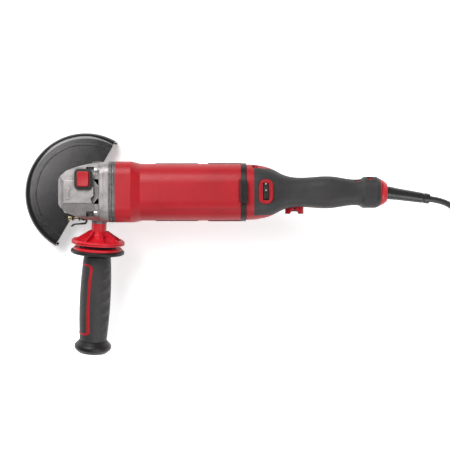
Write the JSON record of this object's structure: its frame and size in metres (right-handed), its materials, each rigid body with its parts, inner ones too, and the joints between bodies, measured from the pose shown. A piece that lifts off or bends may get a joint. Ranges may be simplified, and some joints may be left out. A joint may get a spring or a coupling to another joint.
{
  "type": "angle grinder",
  "caption": "Long-body angle grinder with half-circle disc guard, cast gear head, side handle, speed dial, side switch and coiled power cord.",
  "frame": {"origin": "on the spindle axis, at the face of the inner flange that a disc seats on", "axes": "+Z along the spindle towards the lock button, +X along the motor axis towards the tail, side handle on the -Y side"},
  "size_m": [0.6225, 0.2534, 0.1139],
  "materials": {
    "cast_grey": "grey satin casting",
    "plate_dark": "dark coated casting",
    "zinc_screws": "zinc plated",
    "steel": "ground",
    "bearing_steel": "polished",
    "gear_steel": "hardened",
    "flange_steel": "satin",
    "guard_black": "gloss black paint",
    "zinc_yellow": "yellow zinc plated",
    "lever_black": "black",
    "dark_plastic": "moulded, matte",
    "red_plastic": "moulded, satin",
    "lamination": "laminated",
    "copper": "enamelled copper",
    "brass": "plain",
    "carbon": "carbon",
    "grip_rubber": "soft, fine texture",
    "board_plastic": "moulded",
    "boot_rubber": "semi-gloss",
    "cord_rubber": "semi-matte",
    "nickel": "nickel plated"
  },
  "bodies": {
    "root": {"gear_housing": "cast_grey", "bearing_plate": "plate_dark", "casing_screws": "zinc_screws", "spindle_top_bush": "steel", "bearing_retainer": "cast_grey", "bearing_outer_rings": "bearing_steel", "lock_bezel": "dark_plastic", "motor_housing": "red_plastic", "vent_grilles": "dark_plastic", "filter_frame": "dark_plastic", "air_baffle": "dark_plastic", "stator_core": "lamination", "field_coils": "copper", "brush_holders_and_springs": "brass", "carbon_brushes": "carbon", "handle_shell_left": "red_plastic", "handle_shell_right": "red_plastic", "handle_grip_left": "grip_rubber", "handle_grip_right": "grip_rubber", "dial_bezel": "red_plastic", "speed_controller": "board_plastic", "switch_bezel": "red_plastic", "switch_body": "board_plastic", "cord_clamp": "board_plastic", "gland_ring": "red_plastic", "cord_boot": "boot_rubber", "side_handle_stud": "steel", "side_handle_hub": "red_plastic", "side_handle_damper": "grip_rubber", "side_handle_ring": "red_plastic", "side_handle_core": "dark_plastic", "side_handle_grip": "grip_rubber", "side_handle_inlay": "red_plastic", "side_handle_cap": "dark_plastic", "power_cord": "cord_rubber", "cord_coil": "cord_rubber", "cord_tie": "dark_plastic", "plug_body": "cord_rubber", "plug_pins": "nickel"},
    "spindle_group": {"spindle": "steel", "bevel_gear": "gear_steel", "spindle_bearing_inner": "bearing_steel", "inner_flange": "flange_steel"},
    "clamp_nut_group": {"clamp_nut": "flange_steel"},
    "armature": {"armature_shaft": "steel", "armature_core": "lamination", "armature_windings": "copper", "commutator": "copper", "cooling_fan": "dark_plastic", "bevel_pinion": "gear_steel", "motor_bearing_inners": "bearing_steel"},
    "guard": {"guard_shell": "guard_black", "guard_band": "guard_black", "guard_clamp_bolt": "zinc_yellow"},
    "clamp_lever": {"guard_clamp_lever": "lever_black"},
    "lock_button_group": {"lock_button": "red_plastic", "lock_pin_and_spring": "steel"},
    "speed_dial_group": {"speed_dial": "dark_plastic"},
    "rocker": {"rocker_button": "dark_plastic"},
    "latch": {"filter_latch": "dark_plastic"}
  },
  "joints": [
    {"name": "spindle_turn", "type": "hinge", "parent": "root", "child": "spindle_group", "pos_m": [0, 0, 0], "axis": [0, 0, 1], "continuous": true},
    {"name": "armature_turn", "type": "hinge", "parent": "root", "child": "armature", "pos_m": [0.1, 0, 0.052], "axis": [1, 0, 0], "continuous": true},
    {"name": "clamp_nut_off", "type": "slide", "parent": "spindle_group", "child": "clamp_nut_group", "axis": [0, 0, -1], "range_m": [0, 0.015]},
    {"name": "guard_swivel", "type": "hinge", "parent": "root", "child": "guard", "pos_m": [0, 0, 0], "axis": [0, 0, 1], "range_deg": [-75, 60]},
    {"name": "clamp_lever_open", "type": "hinge", "parent": "guard", "child": "clamp_lever", "pos_m": [-0.00095, -0.0278, 0.0132], "axis": [0, 0, 1], "range_deg": [0, 100]},
    {"name": "lock_press", "type": "slide", "parent": "root", "child": "lock_button_group", "axis": [0, 0, -1], "range_m": [0, 0.005], "stiffness_N_per_m": 600, "springref_m": -0.003},
    {"name": "speed_turn", "type": "hinge", "parent": "root", "child": "speed_dial_group", "pos_m": [0.2068, 0, 0.073], "axis": [1, 0, 0], "range_deg": [0, 270]},
    {"name": "switch_rock", "type": "hinge", "parent": "root", "child": "rocker", "pos_m": [0.2396, -0.0182, 0.052], "axis": [0, 0, 1], "range_deg": [0, 14]},
    {"name": "latch_slide", "type": "slide", "parent": "root", "child": "latch", "axis": [1, 0, 0], "range_m": [0, 0.003]}
  ],
  "couplings": [
    {"joint": "armature_turn", "follows": "spindle_turn", "ratio": 3}
  ]
}
